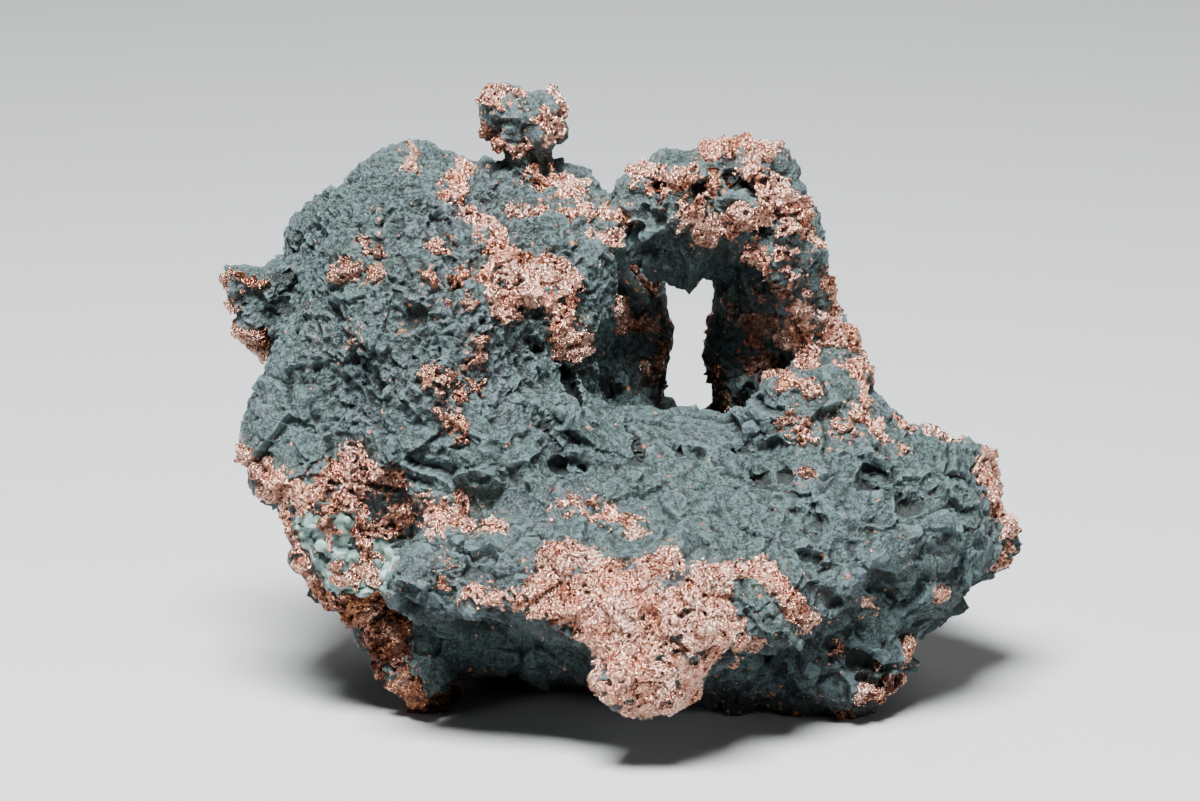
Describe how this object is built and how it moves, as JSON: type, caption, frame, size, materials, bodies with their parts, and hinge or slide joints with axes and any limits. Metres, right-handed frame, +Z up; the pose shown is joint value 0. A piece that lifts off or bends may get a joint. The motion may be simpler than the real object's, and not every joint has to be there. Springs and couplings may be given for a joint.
{
  "type": "native copper nugget",
  "caption": "Craggy lump of grey-green altered rock with crusts of native copper, an eye under an arch, and a knob on its crown.",
  "frame": {"origin": "middle of the footprint's box, at the level of the surface it rests on", "axes": "+X to the right along its length, +Y to the back, +Z up, with the dome on the left and the arch on the right as seen from the front"},
  "size_m": [0.0616, 0.043, 0.0451],
  "materials": {
    "rock": "rough, granular, matt",
    "copper": "bare hackly native copper, satin, partly tarnished brown",
    "pale_mineral": "cloudy, pale green-white, waxy"
  },
  "bodies": {
    "root": {"nugget": "rock"}
  },
  "joints": []
}
